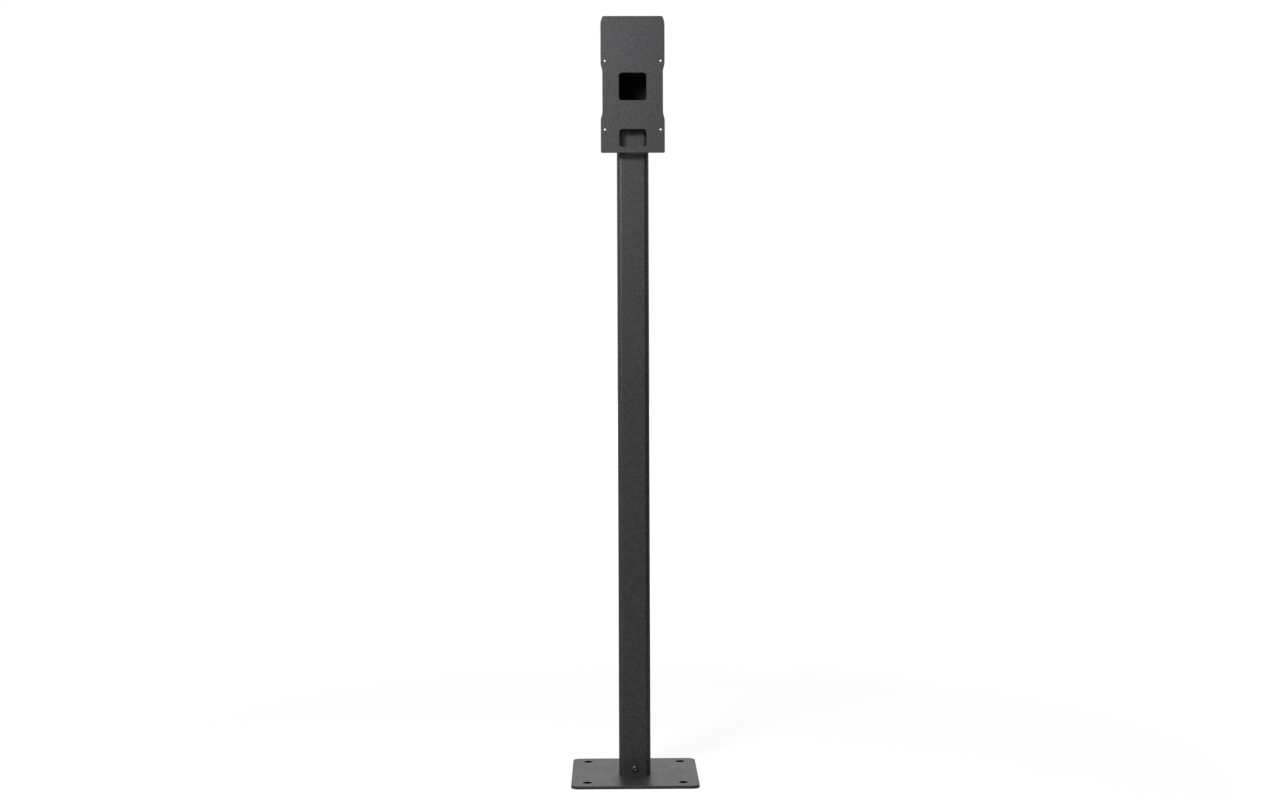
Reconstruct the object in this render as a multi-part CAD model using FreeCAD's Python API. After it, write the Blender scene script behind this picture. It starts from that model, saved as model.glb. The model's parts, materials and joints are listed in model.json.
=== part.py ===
import FreeCAD
import Part
import math
import os

# Gate intercom post: a square steel post on a bolted foot plate, with a short
# neck at the top that carries the flat plate for an intercom station.
# Millimetres. X is to the right, -Y is the front, +Z is up.
# The origin is the centre of the foot plate's underside.

# Foot plate, cut from flat steel
base_side = 203.2
base_thick = 5.0
base_corner_r = 12.0
base_edge_r = 0.8
anchor_pitch = 152.4
anchor_hole_d = 14.3
conduit_hole_d = 28.0

# Square tube of the post and of its neck
tube_side = 50.8
tube_wall = 3.2
tube_corner_r = 8.0

# Head plate, cut from flat steel and welded across the end of the neck
head_width = 101.6
head_height = 215.9
head_thick = 3.0
head_top_z = 1219.2
head_gap = 19.05
head_edge_r = 0.6
head_bottom_corner_r = 2.0
head_top_corner_r = 1.2

# Side outline of the head plate: a shallow waist and drawn-in top corners
side_arc_r = 25.4
waist_step = 2.7
waist_height = 61.0
waist_mid = 96.8
top_draw_in = 4.0

# Cable window, in line with the neck, measured from the plate's lower edge
window_side = 44.0
window_corner_r = 5.5
window_mid = 104.8

# Lower window
lower_window_width = 43.5
lower_window_height = 28.5
lower_window_corner_r = 5.0
lower_window_mid = 23.3

# Four tapped holes for the station, measured in from the plate's sides
station_edge_x = 6.55
station_pitch_z = 108.5
station_row_z = 36.9
station_hole_d = 3.4
station_sink_d = 4.6

# Socket on the foot plate, inside the lower end of the post
socket_height = 60.0
socket_wall = 3.0
socket_clearance = 0.3

# Screw that holds the post on its socket, with the nut behind it
screw_height = 10.5
screw_d = 6.0
screw_length = 12.0
screw_head_d = 10.5
screw_head_h = 3.3
screw_flat_d = 5.4
screw_rim_h = 0.5
screw_key = 4.0
screw_key_depth = 2.1
screw_hole_d = 6.6
nut_key = 10.0
nut_thick = 5.0
thread_clearance = 0.1

# Legs of the fillet welds, and the height of their blunt end
head_weld_leg = 4.0
corner_weld_leg = 4.0
socket_weld_leg = 3.0
weld_toe = 0.4

# How far a cutting body passes the face that it cuts
over = 1.0

# Two places count as one within this distance
near = 1e-4

AXIS_X = FreeCAD.Vector(1, 0, 0)
AXIS_Y = FreeCAD.Vector(0, 1, 0)
AXIS_Z = FreeCAD.Vector(0, 0, 1)

head_bottom_z = head_top_z - head_height
neck_z = head_bottom_z + window_mid
post_front_y = -tube_side / 2
head_back_y = post_front_y - head_gap
station_pitch_x = head_width - 2 * station_edge_x
tube_inside = tube_side - 2 * tube_wall
tube_inside_r = tube_corner_r - tube_wall
socket_side = tube_inside - 2 * socket_clearance
socket_corner_r = tube_inside_r - socket_clearance
socket_inside = socket_side - 2 * socket_wall
socket_inside_r = max(socket_corner_r - socket_wall, weld_toe)
screw_z = base_thick + screw_height
nut_front_y = -socket_inside / 2


def rounded_outline(width, height, radius):
    """Closed wire of a rectangle with round corners, centred in the XY plane."""
    x = width / 2
    y = height / 2
    ix = x - radius
    iy = y - radius
    bend = radius * math.sqrt(0.5)
    edges = []
    for sx, sy in ((1, 1), (-1, 1), (-1, -1), (1, -1)):
        side_end = FreeCAD.Vector(sx * x, sy * iy, 0)
        middle = FreeCAD.Vector(sx * (ix + bend), sy * (iy + bend), 0)
        level_end = FreeCAD.Vector(sx * ix, sy * y, 0)
        edges.append(Part.Arc(side_end, middle, level_end).toShape())
    for s in (1, -1):
        edges.append(Part.makeLine((s * x, -iy, 0), (s * x, iy, 0)))
        edges.append(Part.makeLine((-ix, s * y, 0), (ix, s * y, 0)))
    return Part.Wire(Part.__sortEdges__(edges))


def rounded_bar(width, height, radius, length):
    """Bar along +Z with a rounded rectangle for its section."""
    face = Part.Face(rounded_outline(width, height, radius))
    return face.extrude(AXIS_Z * length)


def square_tube(side, corner_r, inside, inside_r, length):
    """Hollow square section that stands on the XY plane."""
    outer = rounded_bar(side, side, corner_r, length)
    inner = rounded_bar(inside, inside, inside_r, length)
    return outer.cut(inner)


def facing_front(shape, y, z):
    """Turn a shape that was drawn along +Z to run along -Y, from (0, y, z)."""
    turned = shape.copy()
    turned.rotate(FreeCAD.Vector(), AXIS_X, 90)
    turned.translate(FreeCAD.Vector(0, y, z))
    return turned


def corners(pitch_x, pitch_y):
    """The four places of a rectangular hole pattern."""
    return [(sx * pitch_x / 2, sy * pitch_y / 2) for sx in (-1, 1) for sy in (-1, 1)]


def edges_at_z(shape, z):
    """Edges that lie flat at one height."""
    boxes = [(edge, edge.BoundBox) for edge in shape.Edges]
    return [edge for edge, box in boxes if abs(box.ZMin - z) < near and abs(box.ZMax - z) < near]


def soften_rim(plate, thick, radius):
    """Round a flat plate's rim on the side that shows and bevel it on the other."""
    edge_r = min(radius, thick / 3)
    plate = plate.makeFillet(edge_r, edges_at_z(plate, thick))
    return plate.makeChamfer(edge_r / 2, edges_at_z(plate, 0))


def make_base_plate():
    """Foot plate with four anchor holes and the conduit hole."""
    plate = rounded_bar(base_side, base_side, base_corner_r, base_thick)
    plate = soften_rim(plate, base_thick, base_edge_r)
    start = FreeCAD.Vector(0, 0, -over)
    depth = base_thick + 2 * over
    plate = plate.cut(Part.makeCylinder(conduit_hole_d / 2, depth, start))
    for x, y in corners(anchor_pitch, anchor_pitch):
        place = FreeCAD.Vector(x, y, -over)
        plate = plate.cut(Part.makeCylinder(anchor_hole_d / 2, depth, place))
    return plate


def mitre_body():
    """Everything above the 45 degree joint between post and neck."""
    reach = 2 * tube_side
    low = neck_z - reach
    high = neck_z + reach
    outline = [(-reach, low), (-reach, high), (reach, high)]
    points = [FreeCAD.Vector(-tube_side, y, z) for y, z in outline]
    face = Part.Face(Part.makePolygon(points + points[:1]))
    return face.extrude(AXIS_X * (2 * tube_side))


def screw_hole(front_y, back_y):
    """Cutter for the foot screw, from in front of one face to behind another."""
    length = back_y - front_y + 2 * over
    start = FreeCAD.Vector(0, front_y - over, screw_z)
    return Part.makeCylinder(screw_hole_d / 2, length, start, AXIS_Y)


def make_post_tube():
    """Upright tube, mitred at the top and drilled at the foot."""
    length = neck_z + tube_side / 2 - base_thick
    tube = square_tube(tube_side, tube_corner_r, tube_inside, tube_inside_r, length)
    tube.translate(AXIS_Z * base_thick)
    tube = tube.cut(mitre_body())
    return tube.cut(screw_hole(post_front_y, post_front_y + tube_wall))


def make_neck_tube():
    """Short level leg of the mitred corner, open at its front end."""
    length = tube_side + head_gap
    tube = square_tube(tube_side, tube_corner_r, tube_inside, tube_inside_r, length)
    tube = facing_front(tube, tube_side / 2, neck_z)
    return tube.common(mitre_body())


def shoulder(x_from, z_from, z_to):
    """Two equal arcs that lead the side outline from one width to another."""
    way = math.copysign(1, z_to - z_from)
    half_turn = math.asin(abs(z_to - z_from) / 2 / side_arc_r) / 2
    step_x = side_arc_r * (1 - math.cos(half_turn))
    step_z = way * side_arc_r * math.sin(half_turn)
    x_to = x_from - waist_step
    x_mid = (x_from + x_to) / 2
    z_mid = (z_from + z_to) / 2
    start = FreeCAD.Vector(x_from, z_from, 0)
    middle = FreeCAD.Vector(x_mid, z_mid, 0)
    end = FreeCAD.Vector(x_to, z_to, 0)
    first = Part.Arc(start, FreeCAD.Vector(x_from - step_x, z_from + step_z, 0), middle)
    second = Part.Arc(middle, FreeCAD.Vector(x_to + step_x, z_to - step_z, 0), end)
    return [first.toShape(), second.toShape()]


def head_side_edges():
    """Right-hand outline of the head plate, from its lower to its upper edge."""
    x = head_width / 2
    x_waist = x - waist_step
    rise = math.sqrt(4 * waist_step * side_arc_r - waist_step ** 2)
    waist_low = waist_mid - waist_height / 2
    waist_high = waist_mid + waist_height / 2
    drop = math.sqrt(2 * top_draw_in * side_arc_r - top_draw_in ** 2)
    half_turn = math.asin(drop / side_arc_r) / 2
    arc_low = FreeCAD.Vector(x, head_height - drop, 0)
    arc_x = x - side_arc_r * (1 - math.cos(half_turn))
    arc_mid = FreeCAD.Vector(arc_x, head_height - drop + side_arc_r * math.sin(half_turn), 0)
    arc_high = FreeCAD.Vector(x - top_draw_in, head_height, 0)
    edges = [Part.makeLine((x, 0, 0), (x, waist_low - rise, 0))]
    edges += shoulder(x, waist_low - rise, waist_low)
    edges.append(Part.makeLine((x_waist, waist_low, 0), (x_waist, waist_high, 0)))
    edges += shoulder(x, waist_high + rise, waist_high)
    edges.append(Part.makeLine((x, waist_high + rise, 0), arc_low))
    edges.append(Part.Arc(arc_low, arc_mid, arc_high).toShape())
    return edges


def make_head_plate():
    """Plate with its waisted outline, two windows and four tapped holes."""
    right = head_side_edges()
    left = [edge.mirror(FreeCAD.Vector(), AXIS_X) for edge in right]
    x_top = head_width / 2 - top_draw_in
    level = [Part.makeLine((-head_width / 2, 0, 0), (head_width / 2, 0, 0))]
    level.append(Part.makeLine((-x_top, head_height, 0), (x_top, head_height, 0)))
    outline = Part.Wire(Part.__sortEdges__(right + left + level))
    plate = Part.Face(outline).extrude(AXIS_Z * head_thick)
    plate = round_head_corners(plate)
    plate = soften_rim(plate, head_thick, head_edge_r)
    for cutter in head_cutters():
        plate = plate.cut(cutter)
    return facing_front(plate, head_back_y, head_bottom_z)


def round_head_corners(plate):
    """Small radii at the four corners of the outline."""
    for y, radius in ((0, head_bottom_corner_r), (head_height, head_top_corner_r)):
        boxes = [(edge, edge.BoundBox) for edge in plate.Edges]
        through = [(edge, box) for edge, box in boxes if box.ZLength > head_thick / 2]
        sharp = [edge for edge, box in through if abs(box.Center.y - y) < near]
        plate = plate.makeFillet(radius, sharp)
    return plate


def head_cutters():
    """Windows and tapped holes of the head plate, drawn along +Z."""
    depth = head_thick + 2 * over
    window = rounded_bar(window_side, window_side, window_corner_r, depth)
    window.translate(FreeCAD.Vector(0, window_mid, -over))
    lower = rounded_bar(lower_window_width, lower_window_height, lower_window_corner_r, depth)
    lower.translate(FreeCAD.Vector(0, lower_window_mid, -over))
    cutters = [window, lower]
    sink = (station_sink_d - station_hole_d) / 2
    middle_y = station_row_z + station_pitch_z / 2
    for x, y in corners(station_pitch_x, station_pitch_z):
        start = FreeCAD.Vector(x, middle_y + y, -over)
        cutters.append(Part.makeCylinder(station_hole_d / 2, depth, start))
        face = FreeCAD.Vector(x, middle_y + y, head_thick - sink)
        cutters.append(Part.makeCone(station_hole_d / 2, station_sink_d / 2, sink, face))
    return cutters


def make_foot_socket():
    """Short tube on the foot plate that the post slips over."""
    tube = square_tube(socket_side, socket_corner_r, socket_inside, socket_inside_r, socket_height)
    tube.translate(AXIS_Z * base_thick)
    return tube.cut(screw_hole(-socket_side / 2, nut_front_y))


def make_foot_nut():
    """Hexagon nut welded inside the socket's front wall."""
    corner_r = nut_key / math.sqrt(3)
    points = []
    for i in range(7):
        angle = math.radians(60 * i)
        points.append(FreeCAD.Vector(corner_r * math.cos(angle), corner_r * math.sin(angle), 0))
    nut = Part.Face(Part.makePolygon(points)).extrude(AXIS_Z * nut_thick)
    flank = corner_r - nut_key / 2
    blank = Part.makeCylinder(corner_r, nut_thick - flank / 2, FreeCAD.Vector(0, 0, flank / 2))
    bevel = Part.makeCone(corner_r - flank, corner_r, flank / 2)
    nut = nut.common(blank.fuse(bevel))
    bore_r = screw_d / 2 + thread_clearance
    nut = nut.cut(Part.makeCylinder(bore_r, nut_thick + 2 * over, FreeCAD.Vector(0, 0, -over)))
    return facing_front(nut, nut_front_y + nut_thick, screw_z)


def make_foot_screw():
    """Button-head screw with a hexagon recess."""
    rim_r = screw_head_d / 2
    flat_r = screw_flat_d / 2
    dome_h = screw_head_h - screw_rim_h
    dome_r = ((rim_r - flat_r) ** 2 + dome_h ** 2) / (2 * dome_h)
    bulge = dome_r - math.sqrt(dome_r ** 2 - ((rim_r - flat_r) ** 2 + dome_h ** 2) / 4)
    chord = math.hypot(rim_r - flat_r, dome_h)
    mid_x = (rim_r + flat_r) / 2 + bulge * dome_h / chord
    mid_z = screw_rim_h + dome_h / 2 + bulge * (rim_r - flat_r) / chord
    tip = screw_d / 10
    low = FreeCAD.Vector(rim_r, 0, screw_rim_h)
    high = FreeCAD.Vector(flat_r, 0, screw_head_h)
    corners_xz = [(flat_r, screw_head_h), (0, screw_head_h), (0, -screw_length)]
    corners_xz += [(screw_d / 2 - tip, -screw_length), (screw_d / 2, tip - screw_length)]
    corners_xz += [(screw_d / 2, 0), (rim_r, 0), (rim_r, screw_rim_h)]
    outline = Part.makePolygon([FreeCAD.Vector(x, 0, z) for x, z in corners_xz])
    dome = Part.Arc(low, FreeCAD.Vector(mid_x, 0, mid_z), high).toShape()
    face = Part.Face(Part.Wire(Part.__sortEdges__(outline.Edges + [dome])))
    screw = face.revolve(FreeCAD.Vector(), AXIS_Z, 360)
    key_r = screw_key / math.sqrt(3)
    points = []
    for i in range(7):
        angle = math.radians(60 * i + 30)
        points.append(FreeCAD.Vector(key_r * math.cos(angle), key_r * math.sin(angle), 0))
    recess = Part.Face(Part.makePolygon(points)).extrude(AXIS_Z * (screw_key_depth + over))
    recess.translate(AXIS_Z * (screw_head_h - screw_key_depth))
    return facing_front(screw.cut(recess), post_front_y, screw_z)


def make_head_weld():
    """Fillet weld round the neck, in the corner with the head plate's back."""
    wide_side = tube_side + 2 * head_weld_leg
    narrow_side = tube_side + 2 * weld_toe
    wide = rounded_outline(wide_side, wide_side, tube_corner_r + head_weld_leg)
    narrow = rounded_outline(narrow_side, narrow_side, tube_corner_r + weld_toe)
    narrow.translate(AXIS_Z * -head_weld_leg)
    bead = Part.makeLoft([narrow, wide], True, True)
    neck = rounded_bar(tube_side, tube_side, tube_corner_r, head_weld_leg + 2 * over)
    neck.translate(AXIS_Z * (-head_weld_leg - over))
    return facing_front(bead.cut(neck), head_back_y, neck_z)


def make_corner_weld():
    """Fillet weld under the neck, where its flat side meets the post's front."""
    length = tube_side - 2 * tube_corner_r
    y, z = post_front_y, neck_z - tube_side / 2
    leg = corner_weld_leg
    outline = [(y, z), (y - leg, z), (y - leg, z - weld_toe), (y - weld_toe, z - leg), (y, z - leg)]
    points = [FreeCAD.Vector(-length / 2, y, z) for y, z in outline]
    face = Part.Face(Part.makePolygon(points + points[:1]))
    return face.extrude(AXIS_X * length)


def make_socket_weld():
    """Fillet weld inside the socket, in the corner with the foot plate."""
    outer = rounded_bar(socket_inside, socket_inside, socket_inside_r, socket_weld_leg)
    low_side = socket_inside - 2 * socket_weld_leg
    top_side = socket_inside - 2 * weld_toe
    low = rounded_outline(low_side, low_side, socket_inside_r)
    top = rounded_outline(top_side, top_side, socket_inside_r)
    top.translate(AXIS_Z * socket_weld_leg)
    bead = outer.cut(Part.makeLoft([low, top], True, True))
    bead.translate(AXIS_Z * base_thick)
    return bead


def write_step(name, shape):
    """Check one solid and write it to the parts folder."""
    if not shape.isValid() or len(shape.Solids) != 1:
        raise RuntimeError(name + " is not one valid solid")
    shape.Solids[0].exportStep("parts/" + name + ".step")
    print(name, round(shape.Volume), "mm3")


def main():
    os.makedirs("parts", exist_ok=True)
    write_step("base_plate", make_base_plate())
    write_step("foot_socket", make_foot_socket())
    write_step("socket_weld", make_socket_weld())
    write_step("foot_nut", make_foot_nut())
    write_step("foot_screw", make_foot_screw())
    write_step("post_tube", make_post_tube())
    write_step("neck_tube", make_neck_tube())
    write_step("corner_weld", make_corner_weld())
    write_step("head_weld", make_head_weld())
    write_step("head_plate", make_head_plate())


main()
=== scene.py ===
import bpy
import json
import math
from mathutils import Matrix, Vector, noise


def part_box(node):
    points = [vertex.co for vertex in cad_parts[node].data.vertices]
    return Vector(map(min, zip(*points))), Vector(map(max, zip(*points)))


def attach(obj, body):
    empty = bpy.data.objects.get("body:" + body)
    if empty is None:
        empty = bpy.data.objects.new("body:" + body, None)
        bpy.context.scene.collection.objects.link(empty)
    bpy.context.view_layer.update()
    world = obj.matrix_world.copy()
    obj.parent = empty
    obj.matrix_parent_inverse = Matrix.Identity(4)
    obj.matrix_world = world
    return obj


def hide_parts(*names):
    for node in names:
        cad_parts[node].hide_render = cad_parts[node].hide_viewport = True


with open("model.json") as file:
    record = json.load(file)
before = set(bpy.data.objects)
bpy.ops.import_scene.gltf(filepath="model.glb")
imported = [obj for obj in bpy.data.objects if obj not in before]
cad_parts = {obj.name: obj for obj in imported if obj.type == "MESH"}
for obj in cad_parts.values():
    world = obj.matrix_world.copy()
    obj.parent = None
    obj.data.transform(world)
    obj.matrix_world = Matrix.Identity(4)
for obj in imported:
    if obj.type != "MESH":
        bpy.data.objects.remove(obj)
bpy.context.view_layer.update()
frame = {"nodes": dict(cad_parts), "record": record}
nodes = frame["nodes"]

# Places that the looks take from the model itself.
postLow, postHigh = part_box("post_tube")
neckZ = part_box("neck_tube")[1].z - postHigh.y
screwLow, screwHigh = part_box("foot_screw")
screwZ = (screwLow.z + screwHigh.z) / 2


def boltPattern(mountName):
    # Half the two spacings and the middle of a hole pattern that the model states.
    mount = next(mount for mount in frame["record"]["mounts"] if mount["name"] == mountName)
    halves = [mount["dims"][key] / 2 / 1000 for key in ("spacing_x_mm", "spacing_y_mm")]
    return halves, mount["pos_m"]


camera = {
    "place": (-0.0352, -3.0737, 0.6962),
    "panDeg": 0.7184,
    "tiltDeg": 1.6153,
    "rollDeg": 0.2053,
    "focalPx": 1901.8,
    "frameWidthPx": 1271,
    "sensorMm": 36.0,
    "sightM": 50.0,
}


def makeCamera():
    data = bpy.data.cameras.new("photoCamera")
    data.sensor_width = camera["sensorMm"]
    data.lens = camera["sensorMm"] * camera["focalPx"] / camera["frameWidthPx"]
    data.clip_end = camera["sightM"]
    eye = bpy.data.objects.new("photoCamera", data)
    bpy.context.scene.collection.objects.link(eye)
    pan = Matrix.Rotation(math.radians(-camera["panDeg"]), 4, "Z")
    tilt = Matrix.Rotation(math.radians(90.0 - camera["tiltDeg"]), 4, "X")
    roll = Matrix.Rotation(math.radians(-camera["rollDeg"]), 4, "Z")
    eye.matrix_world = Matrix.Translation(camera["place"]) @ pan @ tilt @ roll
    bpy.context.scene.camera = eye
    print("camera: lens", round(data.lens, 2), "mm")


# A small softbox in front to the left and a broad, weak one overhead.
softboxes = {
    "key": {"place": (-0.74, -1.49, 1.60), "aim": (0.0, 0.0, 0.85), "sizeM": 0.40, "watts": 25.0},
    "top": {"place": (0.0, -0.9, 2.5), "aim": (0.0, -0.1, 0.3), "sizeM": 1.5, "watts": 8.0},
}
room = {
    "tint": (0.965, 0.96, 1.0),
    "ambient": 0.06,
}


def aimed(place, target):
    # Stands at a place and looks at a target.
    way = Vector(target) - Vector(place)
    return Matrix.Translation(place) @ way.to_track_quat("-Z", "Y").to_matrix().to_4x4()


def makeLights():
    for name, box in softboxes.items():
        data = bpy.data.lights.new(name + "Softbox", "AREA")
        data.shape = "SQUARE"
        data.size = box["sizeM"]
        data.energy = box["watts"]
        data.color = room["tint"]
        lamp = bpy.data.objects.new(name + "Softbox", data)
        bpy.context.scene.collection.objects.link(lamp)
        lamp.visible_camera = False
        lamp.matrix_world = aimed(box["place"], box["aim"])
    print("lights:", len(softboxes), "softboxes")


def addNode(tree, kind, **values):
    node = tree.nodes.new(kind)
    for name, value in values.items():
        setattr(node, name, value)
    return node


def fill(tree, socket, value):
    # A socket gets a number, a colour of three numbers or the output of another node.
    if isinstance(value, tuple):
        socket.default_value = (*value, 1)
    elif isinstance(value, (int, float)):
        socket.default_value = value
    else:
        tree.links.new(value, socket)


def calc(tree, operation, *values):
    node = addNode(tree, "ShaderNodeMath", operation=operation)
    for socket, value in zip(node.inputs, values):
        fill(tree, socket, value)
    return node.outputs[0]


def mapRange(tree, value, fromLow, fromHigh, toLow, toHigh):
    node = addNode(tree, "ShaderNodeMapRange")
    for name, number in zip(("Value", "From Min", "From Max", "To Min", "To Max"),
                            (value, fromLow, fromHigh, toLow, toHigh)):
        fill(tree, node.inputs[name], number)
    return node.outputs[0]


def makeWorld():
    world = bpy.data.worlds.new("studio")
    bpy.context.scene.world = world
    world.use_nodes = True
    tree = world.node_tree
    tree.nodes.clear()
    soft, white = (addNode(tree, "ShaderNodeBackground") for part in range(2))
    fill(tree, soft.inputs["Color"], room["tint"])
    fill(tree, soft.inputs["Strength"], room["ambient"])
    fill(tree, white.inputs["Color"], (1.0, 1.0, 1.0))
    rays = addNode(tree, "ShaderNodeLightPath").outputs
    shown = calc(tree, "MAXIMUM", rays["Is Camera Ray"], rays["Is Transmission Ray"])
    final = addNode(tree, "ShaderNodeMixShader")
    fill(tree, final.inputs[0], calc(tree, "MAXIMUM", shown, rays["Is Glossy Ray"]))
    fill(tree, final.inputs[1], soft.outputs[0])
    fill(tree, final.inputs[2], white.outputs[0])
    fill(tree, addNode(tree, "ShaderNodeOutputWorld").inputs["Surface"], final.outputs[0])
    print("world: white to the eye and in reflections")


def stageSheet(name, width, height):
    # A flat sheet that isn't part of the object, with an empty tree for its look.
    mesh = bpy.data.meshes.new(name)
    x, y = width / 2, height / 2
    mesh.from_pydata([(-x, -y, 0), (x, -y, 0), (x, y, 0), (-x, y, 0)], [], [(0, 1, 2, 3)])
    sheet = bpy.data.objects.new(name, mesh)
    bpy.context.scene.collection.objects.link(sheet)
    material = bpy.data.materials.new(name)
    material.use_nodes = True
    material.node_tree.nodes.clear()
    mesh.materials.append(material)
    return sheet, material.node_tree


# A matt sheet mixed with plain white: near the part less white, so that its shadow is kept.
studioFloor = {
    "sizeM": 40.0,
    "albedo": 0.8,
    "white": 1.235,
    "shareNear": 0.75,
    "nearM": 0.9,
    "farM": 2.6,
    "shareInGloss": 0.22,
    "shareInBounce": 0.05,
}


def makeFloor():
    tree = stageSheet("studioFloor", studioFloor["sizeM"], studioFloor["sizeM"])[1]
    matt = addNode(tree, "ShaderNodeBsdfDiffuse")
    fill(tree, matt.inputs["Color"], (studioFloor["albedo"],) * 3)
    white = addNode(tree, "ShaderNodeEmission")
    fill(tree, white.inputs["Strength"], studioFloor["white"])
    reach = addNode(tree, "ShaderNodeVectorMath", operation="LENGTH")
    fill(tree, reach.inputs[0], addNode(tree, "ShaderNodeTexCoord").outputs["Object"])
    share = mapRange(tree, reach.outputs["Value"], studioFloor["nearM"], studioFloor["farM"],
                     studioFloor["shareNear"], 1.0)
    rays = addNode(tree, "ShaderNodeLightPath").outputs
    seen = calc(tree, "MAXIMUM", rays["Is Camera Ray"], rays["Is Transmission Ray"])
    toEye = calc(tree, "MULTIPLY", seen, share)
    toGloss = calc(tree, "MULTIPLY", rays["Is Glossy Ray"], studioFloor["shareInGloss"])
    toBounce = calc(tree, "MULTIPLY", rays["Is Diffuse Ray"], studioFloor["shareInBounce"])
    unseen = calc(tree, "MAXIMUM", toGloss, toBounce)
    mix = addNode(tree, "ShaderNodeMixShader")
    fill(tree, mix.inputs[0], calc(tree, "MAXIMUM", toEye, unseen))
    fill(tree, mix.inputs[1], matt.outputs[0])
    fill(tree, mix.inputs[2], white.outputs[0])
    fill(tree, addNode(tree, "ShaderNodeOutputMaterial").inputs["Surface"], mix.outputs[0])
    print("floor:", studioFloor["sizeM"], "m")


# A dark card to the right that only reflections see, so that the post's right corner stays dark.
darkCard = {
    "place": (0.58, -0.45, 0.62),
    "aim": (0.0, 0.0, 0.62),
    "widthM": 1.1,
    "heightM": 1.8,
    "albedo": 0.25,
}


def makeDarkCard():
    card, tree = stageSheet("darkCard", darkCard["widthM"], darkCard["heightM"])
    card.matrix_world = aimed(darkCard["place"], darkCard["aim"])
    for ray in ("camera", "diffuse", "transmission", "volume_scatter", "shadow"):
        setattr(card, "visible_" + ray, False)
    matt = addNode(tree, "ShaderNodeBsdfDiffuse")
    fill(tree, matt.inputs["Color"], (darkCard["albedo"],) * 3)
    fill(tree, addNode(tree, "ShaderNodeOutputMaterial").inputs["Surface"], matt.outputs[0])
    print("dark card:", darkCard["widthM"], "m wide")


def makeGroup(name, inputs, outputs):
    tree = bpy.data.node_groups.new(name, "ShaderNodeTree")
    for label, kind in inputs:
        tree.interface.new_socket(label, in_out="INPUT", socket_type="NodeSocket" + kind)
    for label in outputs:
        tree.interface.new_socket(label, in_out="OUTPUT", socket_type="NodeSocketFloat")
    return tree, addNode(tree, "NodeGroupInput").outputs, addNode(tree, "NodeGroupOutput").inputs


def placeGroup(tree, name, **values):
    node = addNode(tree, "ShaderNodeGroup", node_tree=groups[name])
    for label, value in values.items():
        fill(tree, node.inputs[label], value)
    return node.outputs


def splitAxes(tree, vector):
    axes = addNode(tree, "ShaderNodeSeparateXYZ")
    fill(tree, axes.inputs[0], vector)
    return axes.outputs


noiseSpan = (0.3, 0.7)  # nearly all values of a noise lie between these two


def addNoise(tree, vector, scale, detail, roughness=0.5):
    cloud = addNode(tree, "ShaderNodeTexNoise")
    for name, value in (("Vector", vector), ("Scale", scale), ("Detail", detail),
                        ("Roughness", roughness)):
        fill(tree, cloud.inputs[name], value)
    return cloud.outputs["Fac"]


def mixValues(tree, mask, low, high, kind="FLOAT"):
    mix = addNode(tree, "ShaderNodeMix", data_type=kind)
    for name, value in (("Factor", mask), ("A", low), ("B", high)):
        fill(tree, mix.inputs[name], value)
    return mix.outputs["Result"]


def mixColours(tree, mask, low, high):
    return mixValues(tree, mask, low, high, "RGBA")


# What the grain is made of; ground and mottle are shares of the grains in a metre.
sandGrain = {
    "smoothness": 0.6,
    "pitHeight": 0.5,
    "groundShare": 0.34,
    "groundDetail": 4.0,
    "groundRough": 0.65,
    "mottleShare": 0.2,
    "mottleDetail": 3.0,
    "mottleRough": 0.6,
    "mottleInSpeckle": 0.4,
    "cloudsPerMetre": 22.0,
    "cloudDetail": 5.0,
}


def buildSandGrain():
    # Fine texture powder: round grains on a rougher ground, a speckle and a slow cloud.
    tree, given, made = makeGroup(
        "sandGrain", [("Vector", "Vector"), ("GrainsPerMetre", "Float")],
        ["Height", "Speckle", "Cloud"])
    spot, scale = given["Vector"], given["GrainsPerMetre"]
    grains = addNode(tree, "ShaderNodeTexVoronoi", feature="SMOOTH_F1")
    for name, value in (("Smoothness", sandGrain["smoothness"]), ("Vector", spot),
                        ("Scale", scale)):
        fill(tree, grains.inputs[name], value)
    coarse = calc(tree, "MULTIPLY", scale, sandGrain["groundShare"])
    ground = addNoise(tree, spot, coarse, sandGrain["groundDetail"], sandGrain["groundRough"])
    coarser = calc(tree, "MULTIPLY", scale, sandGrain["mottleShare"])
    mottle = addNoise(tree, spot, coarser, sandGrain["mottleDetail"], sandGrain["mottleRough"])
    cloud = addNoise(tree, spot, sandGrain["cloudsPerMetre"], sandGrain["cloudDetail"])
    pits = calc(tree, "MULTIPLY", grains.outputs["Distance"], sandGrain["pitHeight"])
    fill(tree, made["Height"], calc(tree, "ADD", pits, ground))
    fill(tree, made["Speckle"], mixValues(tree, sandGrain["mottleInSpeckle"], ground, mottle))
    fill(tree, made["Cloud"], cloud)
    return tree


def buildTubeInside():
    # One where both distances from the tube's axis are less than half its bore.
    tree, given, made = makeGroup(
        "tubeInside", [("Across", "Float"), ("Along", "Float"), ("HalfBore", "Float")], ["Mask"])
    away = [calc(tree, "ABSOLUTE", given[label]) for label in ("Across", "Along")]
    farther = calc(tree, "MAXIMUM", *away)
    fill(tree, made["Mask"], calc(tree, "LESS_THAN", farther, given["HalfBore"]))
    return tree


groundSeam = {
    "wavesPerMetre": 260.0,
    "waveDetail": 2.0,
    "lowestShare": 0.5,
}


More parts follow.
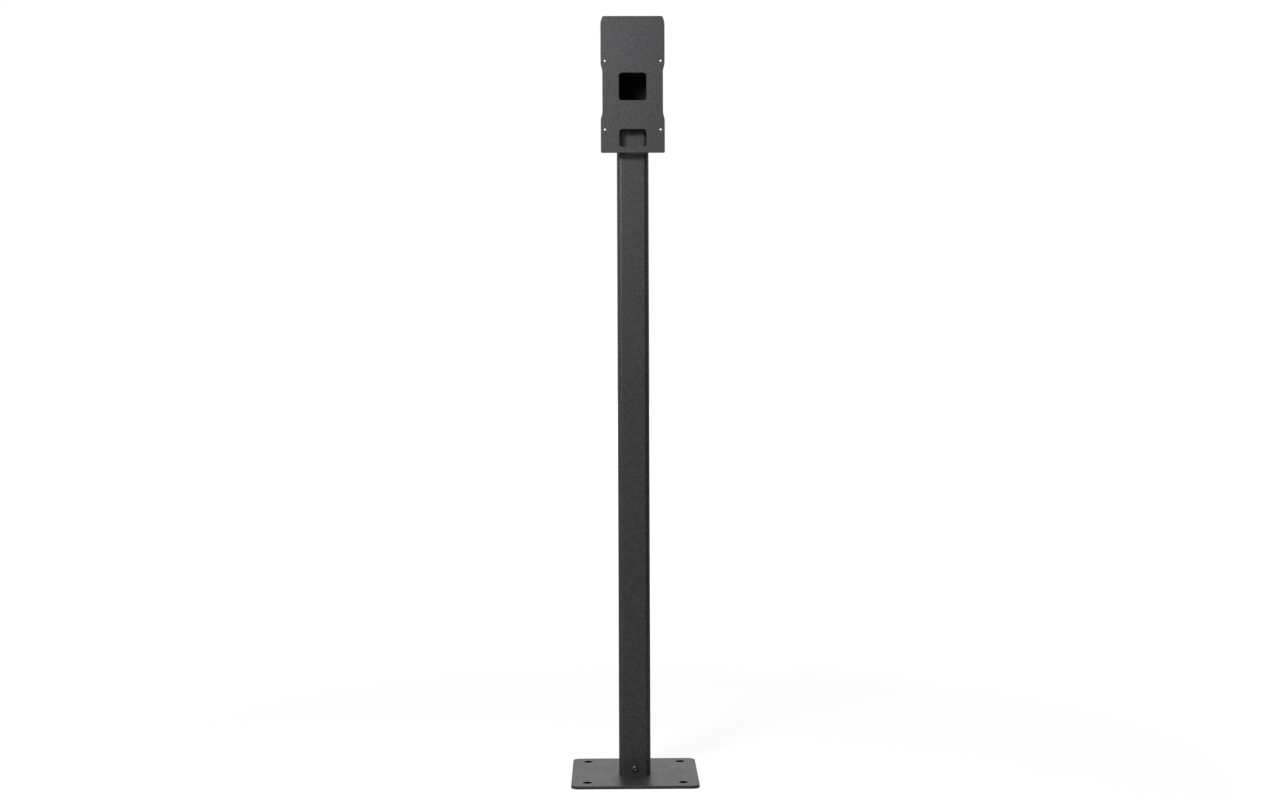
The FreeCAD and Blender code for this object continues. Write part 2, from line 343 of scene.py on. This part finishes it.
def buildGroundSeam():
    # Low ridge of a weld ground nearly flush along the mitre, where z - y is Level.
    tree, given, made = makeGroup(
        "groundSeam", [("Vector", "Vector"), ("Level", "Float"), ("HalfWidth", "Float")],
        ["Height"])
    axes = splitAxes(tree, given["Vector"])
    rise = calc(tree, "SUBTRACT", axes["Z"], axes["Y"])
    away = calc(tree, "ABSOLUTE", calc(tree, "SUBTRACT", rise, given["Level"]))
    slope = calc(tree, "SUBTRACT", 1.0, calc(tree, "DIVIDE", away, given["HalfWidth"]))
    ridge = calc(tree, "SQRT", calc(tree, "MAXIMUM", slope, 0.0))
    waves = addNoise(tree, given["Vector"], groundSeam["wavesPerMetre"], groundSeam["waveDetail"])
    uneven = mapRange(tree, waves, *noiseSpan, groundSeam["lowestShare"], 1.0)
    fill(tree, made["Height"], calc(tree, "MULTIPLY", ridge, uneven))
    return tree


def buildHoleWalls():
    # Walls of four holes placed alike on both sides of two middle lines, and the angle in each.
    labels = ("First", "Second", "HalfFirst", "HalfSecond", "Radius")
    tree, given, made = makeGroup(
        "holeWalls", [(label, "Float") for label in labels], ["Mask", "Turn"])
    offFirst, offSecond = (
        calc(tree, "SUBTRACT", calc(tree, "ABSOLUTE", given[label]), given["Half" + label])
        for label in ("First", "Second"))
    squares = [calc(tree, "MULTIPLY", off, off) for off in (offFirst, offSecond)]
    reach = calc(tree, "SQRT", calc(tree, "ADD", *squares))
    fill(tree, made["Mask"], calc(tree, "LESS_THAN", reach, given["Radius"]))
    angle = calc(tree, "ARCTAN2", offSecond, offFirst)
    fill(tree, made["Turn"], calc(tree, "DIVIDE", angle, 2 * math.pi))
    return tree


def newMaterial(name):
    material = bpy.data.materials.new(name)
    material.use_nodes = True
    tree = material.node_tree
    spot = addNode(tree, "ShaderNodeTexCoord").outputs["Object"]
    return material, tree, tree.nodes["Principled BSDF"], spot


def addBump(tree, height, depthMm, normal=None):
    bump = addNode(tree, "ShaderNodeBump")
    fill(tree, bump.inputs["Distance"], depthMm / 1000)
    fill(tree, bump.inputs["Height"], height)
    if normal is not None:
        fill(tree, bump.inputs["Normal"], normal)
    return bump.outputs[0]


def finishLook(tree, shader, colour, rough, normal):
    for name, value in (("Base Color", colour), ("Roughness", rough), ("Normal", normal)):
        fill(tree, shader.inputs[name], value)


groups = {"sandGrain": buildSandGrain(), "tubeInside": buildTubeInside(),
          "groundSeam": buildGroundSeam(), "holeWalls": buildHoleWalls()}
print("shader groups:", len(groups))

coat = {
    "dark": (0.006, 0.006, 0.0065),
    "pale": (0.036, 0.036, 0.038),
    "speckleLow": 0.42,
    "speckleHigh": 0.58,
    "grainsPerMetre": 1500.0,
    "grainDepthMm": 0.16,
    "roughLow": 0.39,
    "roughHigh": 0.45,
    "cloudGloss": 0.03,
}


def coatLook(tree, spot):
    # Colour, roughness and grain height of the fine texture powder coat.
    grain = placeGroup(tree, "sandGrain", Vector=spot, GrainsPerMetre=coat["grainsPerMetre"])
    speckle = mapRange(tree, grain["Speckle"], coat["speckleLow"], coat["speckleHigh"], 0.0, 1.0)
    colour = mixColours(tree, speckle, coat["dark"], coat["pale"])
    rough = mapRange(tree, speckle, 0.0, 1.0, coat["roughHigh"], coat["roughLow"])
    patch = mapRange(tree, grain["Cloud"], *noiseSpan, -coat["cloudGloss"], coat["cloudGloss"])
    return colour, calc(tree, "ADD", rough, patch), grain["Height"]


def makeCoat(name):
    material, tree, shader, spot = newMaterial(name)
    colour, rough, height = coatLook(tree, spot)
    finishLook(tree, shader, colour, rough, addBump(tree, height, coat["grainDepthMm"]))
    return material


tube = {
    "halfBoreMm": 22.35,
    "seamHalfWidthMm": 3.2,
    "seamDepthMm": 0.5,
    # The inside colours are painted shade: far darker than uncoated steel, for the shade deep in
    # the tube.
    "insideDark": (0.002, 0.002, 0.0023),
    "insidePale": (0.006, 0.0058, 0.0055),
    "insideRough": 0.95,
    "stainsPerMetre": 90.0,
}


def makeTubeCoat(name, alongAxis, alongMiddle):
    # Coated outside with the ground mitre seam; inside uncoated steel, painted near black as
    # painted shade of the tube's deep inside.
    material, tree, shader, spot = newMaterial(name)
    colour, rough, height = coatLook(tree, spot)
    axes = splitAxes(tree, spot)
    inside = placeGroup(tree, "tubeInside", Across=axes["X"],
                        Along=calc(tree, "SUBTRACT", axes[alongAxis], alongMiddle),
                        HalfBore=tube["halfBoreMm"] / 1000)["Mask"]
    stains = addNoise(tree, spot, tube["stainsPerMetre"], detail=6.0, roughness=0.6)
    # Painted shade: the inside colour is uncoated steel made far darker to stand for the shade
    # deep in the tube.
    bareWithShade = mixColours(tree, stains, tube["insideDark"], tube["insidePale"])
    seam = placeGroup(tree, "groundSeam", Vector=spot, Level=neckZ,
                      HalfWidth=tube["seamHalfWidthMm"] / 1000)["Height"]
    normal = addBump(tree, height, coat["grainDepthMm"])
    finishLook(tree, shader, mixColours(tree, inside, colour, bareWithShade),
               mixValues(tree, inside, rough, tube["insideRough"]),
               addBump(tree, seam, tube["seamDepthMm"], normal))
    return material


headHoles = {
    "radiusMm": 1.9,
    "threadPitchMm": 0.7,
    "threadDepthMm": 0.35,
    "cutSteel": (0.12, 0.12, 0.125),
}


def makeHeadCoat():
    # The coat again, with a thread cut through it in the four holes.
    material, tree, shader, spot = newMaterial("headCoat")
    colour, rough, height = coatLook(tree, spot)
    (halfX, halfZ), middle = boltPattern("station_holes")
    axes = splitAxes(tree, spot)
    rise = calc(tree, "SUBTRACT", axes["Z"], middle[2])
    holes = placeGroup(tree, "holeWalls", First=axes["X"], Second=rise, HalfFirst=halfX,
                       HalfSecond=halfZ, Radius=headHoles["radiusMm"] / 1000)
    turns = calc(tree, "DIVIDE", axes["Y"], headHoles["threadPitchMm"] / 1000)
    halfTurn = 0.5  # the groove falls in one half of a turn and rises in the other
    groove = calc(tree, "PINGPONG", calc(tree, "ADD", turns, holes["Turn"]), halfTurn)
    thread = calc(tree, "MULTIPLY", holes["Mask"], groove)
    normal = addBump(tree, height, coat["grainDepthMm"])
    finishLook(tree, shader, mixColours(tree, holes["Mask"], colour, headHoles["cutSteel"]), rough,
               addBump(tree, thread, headHoles["threadDepthMm"], normal))
    return material


basePlate = {
    "grainDepthMm": 0.10,
    "holeRadiusMm": 7.3,
    # Painted shade for the walls of the anchor holes.
    "holeWallShade": (0.008, 0.008, 0.008),
    "underMm": 0.1,
    "scuffsPerMetre": 60.0,
    "scuffLow": 0.45,
    "scuffHigh": 0.7,
    "scuffDark": (0.010, 0.010, 0.011),
    "scuffPale": (0.055, 0.054, 0.052),
    "dullRough": 0.75,
}


def makeBaseCoat():
    # The coat, scuffed dull on the underside; the walls of the holes are uncoated metal, painted
    # near black as painted shade in the holes.
    material, tree, shader, spot = newMaterial("baseCoat")
    colour, rough, height = coatLook(tree, spot)
    halfX, halfY = boltPattern("ground_anchors")[0]
    axes = splitAxes(tree, spot)
    holes = placeGroup(tree, "holeWalls", First=axes["X"], Second=axes["Y"], HalfFirst=halfX,
                       HalfSecond=halfY, Radius=basePlate["holeRadiusMm"] / 1000)["Mask"]
    under = calc(tree, "LESS_THAN", axes["Z"], basePlate["underMm"] / 1000)
    scrapes = addNoise(tree, spot, basePlate["scuffsPerMetre"], detail=8.0, roughness=0.7)
    marks = mapRange(tree, scrapes, basePlate["scuffLow"], basePlate["scuffHigh"], 0.0, 1.0)
    scuffed = mixColours(tree, marks, basePlate["scuffDark"], basePlate["scuffPale"])
    # Painted shade: the hole walls get a near-black colour and full metallic, standing for the
    # shade in the holes.
    upper = mixColours(tree, holes, colour, basePlate["holeWallShade"])
    fill(tree, shader.inputs["Metallic"], holes)
    finishLook(tree, shader, mixColours(tree, under, upper, scuffed),
               mixValues(tree, calc(tree, "MAXIMUM", under, holes), rough, basePlate["dullRough"]),
               addBump(tree, height, basePlate["grainDepthMm"]))
    return material


metals = {
    "blackOxide": {"dark": (0.05, 0.05, 0.052), "pale": (0.11, 0.11, 0.11), "metallic": 0.9,
                   "roughLow": 0.22, "roughHigh": 0.36, "cloudsPerMetre": 700.0, "depthMm": 0.02},
    "zincPlate": {"dark": (0.36, 0.37, 0.38), "pale": (0.58, 0.58, 0.56), "metallic": 1.0,
                  "roughLow": 0.30, "roughHigh": 0.48, "cloudsPerMetre": 420.0, "depthMm": 0.03},
}


def makeMetal(name):
    look = metals[name]
    material, tree, shader, spot = newMaterial(name)
    fill(tree, shader.inputs["Metallic"], look["metallic"])
    clouds = addNoise(tree, spot, look["cloudsPerMetre"], detail=6.0, roughness=0.6)
    cloud = mapRange(tree, clouds, *noiseSpan, 0.0, 1.0)
    finishLook(tree, shader, mixColours(tree, cloud, look["dark"], look["pale"]),
               mapRange(tree, cloud, 0.0, 1.0, look["roughHigh"], look["roughLow"]),
               addBump(tree, cloud, look["depthMm"]))
    return material


sharpDeg = 32  # where a piece turns by more than this, its edge shows as sharp


def newPiece(name, points, faces, material, node):
    mesh = bpy.data.meshes.new(name)
    mesh.from_pydata([tuple(point) for point in points], [], faces)
    mesh.validate()
    mesh.materials.append(material)
    mesh.polygons.foreach_set("use_smooth", [True] * len(mesh.polygons))
    piece = bpy.data.objects.new(name, mesh)
    bpy.context.scene.collection.objects.link(piece)
    piece.modifiers.new("sharpEdges", "EDGE_SPLIT").split_angle = math.radians(sharpDeg)
    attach(piece, "root")
    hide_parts(node)
    print(name + ":", len(mesh.polygons), "faces")


def stripFaces(rings, around, closed):
    # Quads between rings of points; an open strip gets a cap at each end.
    faces = []
    for ring in range(rings if closed else rings - 1):
        here, there = ring * around, (ring + 1) % rings * around
        for i in range(around):
            j = (i + 1) % around
            faces.append((here + i, there + i, there + j, here + j))
    if not closed:
        last = (rings - 1) * around
        faces.append(tuple(range(around)))
        faces.append(tuple(reversed(range(last, last + around))))
    return faces


def roundRing(reach):
    return lambda angle: reach


def hexagonRing(across, limit):
    # A hexagon whose corners are cut off by a circle.
    def reach(angle):
        fold = (angle + math.pi / 6) % (math.pi / 3) - math.pi / 6
        return min(across / 2 / math.cos(fold), limit)
    return reach


def threadRing(depth, radius, pitch, cut):
    # The radius falls and rises once in each pitch, and turns with the angle.
    def reach(angle):
        turn = (depth / pitch + angle / (2 * math.pi)) % 1.0
        return radius - cut * (1 - abs(2 * turn - 1))
    return reach


def threadRings(length, start, end, radius, look):
    # Rings of a thread from start to end; the whole length says how many.
    pitch, cut = look["pitchMm"], look["threadMm"]
    steps = int(length / pitch * look["ringsPerPitch"])
    depths = [start + (end - start) * step / steps for step in range(steps + 1)]
    return [(threadRing(depth, radius, pitch, cut), depth) for depth in depths]


def turnPiece(name, rings, around, seat, material, node, closed=False):
    # Rings of (radius by angle, height) in mm around a level axis; height is towards the front.
    points = []
    for reach, height in rings:
        for i in range(around):
            angle = 2 * math.pi * i / around
            across, rise = reach(angle) * math.cos(angle), reach(angle) * math.sin(angle)
            points.append(seat + Vector((across, -height, rise)) / 1000)
    faces = stripFaces(len(rings), around, closed)
    newPiece(name, points, faces, material, node)


# The shares are of the key's width: the drilled hole that the hexagon is pressed into, and the
# flats and corners of the hexagon's widened mouth.
footScrew = {
    "around": 60,
    "headMm": 10.5,
    "headHighMm": 3.3,
    "flatMm": 5.4,
    "domeSteps": 8,
    "rimMm": 0.5,
    "rimChamferMm": 0.12,
    "keyMm": 4.0,
    "keyDeepMm": 2.1,
    "keyStepMm": 0.02,
    "drillShare": 0.49,
    "drillTipShare": 0.18,
    "drillTipMm": 0.5,
    "mouthShare": 1.17,
    "mouthCornerShare": 0.6,
    "mouthDeepMm": 0.16,
    "shankMm": 6.0,
    "shankFlareMm": 0.25,
    "lengthMm": 12.0,
    "threadStartMm": 0.3,
    "tipMm": 0.6,
    "tipTaperMm": 0.7,
    "tipFaceMm": 0.8,
    "pitchMm": 1.0,
    "threadMm": 0.55,
    "ringsPerPitch": 6,
}


def makeFootScrew(material):
    # Button head screw: hexagon socket, dome, rim, then the threaded shank into the post.
    look = footScrew
    head, flat, shank = look["headMm"] / 2, look["flatMm"] / 2, look["shankMm"] / 2
    high, rim, key = look["headHighMm"], look["rimMm"], look["keyMm"]
    length, chamfer = look["lengthMm"], look["rimChamferMm"]
    floor, dome = high - look["keyDeepMm"], look["domeSteps"]
    socket = hexagonRing(key, key)
    mouth = hexagonRing(look["mouthShare"] * key, look["mouthCornerShare"] * key)
    rings = [(roundRing(look["drillTipShare"] * key), floor - look["drillTipMm"]),
             (roundRing(look["drillShare"] * key), floor),
             (socket, floor + look["keyStepMm"]), (socket, high - look["mouthDeepMm"]),
             (mouth, high)]
    for step in range(dome + 1):
        turn = math.pi / 2 * step / dome
        out, rise = (head - flat) * math.sin(turn), (high - rim) * math.cos(turn)
        rings.append((roundRing(flat + out), rim + rise))
    rings += [(roundRing(head), chamfer), (roundRing(head - chamfer), 0.0),
              (roundRing(shank + look["shankFlareMm"]), 0.0)]
    thread = threadRings(length, look["threadStartMm"], length - look["tipMm"], shank, look)
    rings += [(reach, -depth) for reach, depth in thread]
    rings += [(roundRing(shank - look["tipTaperMm"]), -length),
              (roundRing(look["tipFaceMm"] / 2), -length)]
    seat = Vector((0, postLow.y, screwZ))
    turnPiece("footScrew", rings, look["around"], seat, material, "foot_screw")


footNut = {
    "around": 60,
    "keyMm": 10.0,
    "faceMm": 9.6,
    "thickMm": 5.0,
    "chamferMm": 0.7,
    "chamferShares": (1 / 3, 2 / 3, 1.0),
    "boreMm": 6.2,
    "mouthMm": 0.1,
    "mouthDeepMm": 0.35,
    "pitchMm": 1.0,
    "threadMm": 0.5,
    "ringsPerPitch": 6,
}


def makeFootNut(material):
    # Hexagon nut inside the post, chamfered on both faces, with its thread.
    key, thick, chamfer = footNut["keyMm"], footNut["thickMm"], footNut["chamferMm"]
    root, deep = footNut["boreMm"] / 2 + footNut["threadMm"], footNut["mouthDeepMm"]
    face, corner = footNut["faceMm"] / 2, key / math.sqrt(3)
    mouth = roundRing(root + footNut["mouthMm"])
    rings = threadRings(thick, deep, thick - deep, root, footNut)
    rings += [(mouth, thick), (roundRing(face), thick)]
    cone = [(hexagonRing(key, face + (corner - face) * share), chamfer * share)
            for share in footNut["chamferShares"]]
    rings += [(reach, thick - depth) for reach, depth in cone] + cone[::-1]
    rings += [(roundRing(face), 0.0), (mouth, 0.0)]
    seat = Vector((0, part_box("foot_nut")[1].y, screwZ))
    turnPiece("footNut", rings, footNut["around"], seat, material, "foot_nut", True)


weldBead = {
    "stepMm": 0.40,
    "rippleMm": 1.7,
    "rippleDeepMm": 0.22,
    "crescentTurn": 0.45,
    "bulgeMm": 0.55,
    "unevenMm": 0.45,
    "unevenPerMm": 0.09,
    "profile": 7,
}
weldRuns = {
    "headWeld": {"legMm": 3.6, "cornerMm": 8.0, "seed": 3.0},
    "cornerWeld": {"legMm": 3.6, "fadeMm": 2.5, "endShare": 0.35, "seed": 7.0},
    "socketWeld": {"legMm": 2.6, "cornerMm": 1.5, "seed": 11.0},
}


def loopStations(side, cornerMm, inward=False):
    # Places, directions and swell all the way round a square with round corners.
    corner = cornerMm / 1000
    flat, arc = side - 2 * corner, math.pi / 2 * corner
    count = int(4 * (flat + arc) * 1000 / weldBead["stepMm"])
    stations = []
    for i in range(count):
        quarter, rest = divmod(i * 4 / count, 1.0)
        at = rest * (flat + arc)
        if at < flat:
            place, out = Vector((side / 2, at - flat / 2, 0)), Vector((1, 0, 0))
        else:
            turn = (at - flat) / corner
            out = Vector((math.cos(turn), math.sin(turn), 0))
            place = Vector((side / 2 - corner, flat / 2, 0)) + out * corner
        spin = Matrix.Rotation(quarter * math.pi / 2, 3, "Z")
        stations.append((spin @ place, spin @ out * (-1 if inward else 1), 1.0))
    return stations


def lineStations(length, fadeMm, endShare):
    # Places along a straight run that fades out to a share of its size at both ends.
    count = int(length * 1000 / weldBead["stepMm"])
    fade = fadeMm / 1000
    stations = []
    for i in range(count + 1):
        at = length * i / count
        swell = endShare + (1 - endShare) * math.sqrt(min(at, length - at, fade) / fade)
        stations.append((Vector((at - length / 2, 0, 0)), Vector((0, -1, 0)), swell))
    return stations


def makeBead(name, node, material, stations, toWorld, closed=True):
    # Fillet bead along a corner: convex, with crescent ripples and an uneven toe.
    across, run = weldBead["profile"], weldRuns[name]
    points, along, before = [], 0.0, stations[0][0]
    for place, out, swell in stations:
        along += (place - before).length * 1000
        before = place
        drift = Vector((along * weldBead["unevenPerMm"] + run["seed"], run["seed"], 0))
        leg = (run["legMm"] + noise.noise(drift) * weldBead["unevenMm"]) * swell
        points.append(toWorld(place))
        for k in range(across):
            share = k / (across - 1)
            arch = math.sin(math.pi * share)
            phase = along / weldBead["rippleMm"] + weldBead["crescentTurn"] * arch
            ripple = abs(phase % 1.0 - 0.5) * 2 * weldBead["rippleDeepMm"] * arch
            lift = (weldBead["bulgeMm"] * arch - ripple) * math.sqrt(0.5) * swell
            rise = Vector((0, 0, (leg * (1 - share) + lift) / 1000))
            points.append(toWorld(place + out * (leg * share + lift) / 1000 + rise))
    faces = stripFaces(len(stations), across + 1, closed)
    newPiece(name, points, faces, material, node)


def makeWelds(material):
    # Around the neck on the plate's back, under the neck on the post, inside the socket's foot.
    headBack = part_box("head_plate")[1].y
    stations = loopStations(postHigh.x - postLow.x, weldRuns["headWeld"]["cornerMm"])
    makeBead("headWeld", "head_weld", material, stations,
             lambda p: Vector((p.x, headBack + p.z, neckZ + p.y)))
    low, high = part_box("corner_weld")
    run = weldRuns["cornerWeld"]
    stations = lineStations(high.x - low.x, run["fadeMm"], run["endShare"])
    makeBead("cornerWeld", "corner_weld", material, stations,
             lambda p: Vector((p.x, high.y + p.y, high.z - p.z)), False)
    low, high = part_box("socket_weld")
    stations = loopStations(high.x - low.x, weldRuns["socketWeld"]["cornerMm"], True)
    makeBead("socketWeld", "socket_weld", material, stations,
             lambda p: Vector((p.x, p.y, low.z + p.z)))


def dress(material, *nodeNames):
    for nodeName in nodeNames:
        for slot in nodes[nodeName].material_slots:
            slot.material = material


makeCamera()
makeLights()
makeWorld()
makeFloor()
makeDarkCard()
plainCoat = makeCoat("plainCoat")
blackOxide, zincPlate = makeMetal("blackOxide"), makeMetal("zincPlate")
dress(makeHeadCoat(), "head_plate")
dress(makeTubeCoat("postCoat", "Y", 0.0), "post_tube")
dress(makeTubeCoat("neckCoat", "Z", neckZ), "neck_tube")
dress(makeBaseCoat(), "base_plate")
dress(plainCoat, "foot_socket", "head_weld", "corner_weld", "socket_weld")
dress(blackOxide, "foot_screw")
dress(zincPlate, "foot_nut")
print("materials on", len(nodes), "solids")
makeFootScrew(blackOxide)
makeFootNut(zincPlate)
makeWelds(plainCoat)

bpy.context.scene.view_settings.view_transform = "Standard"
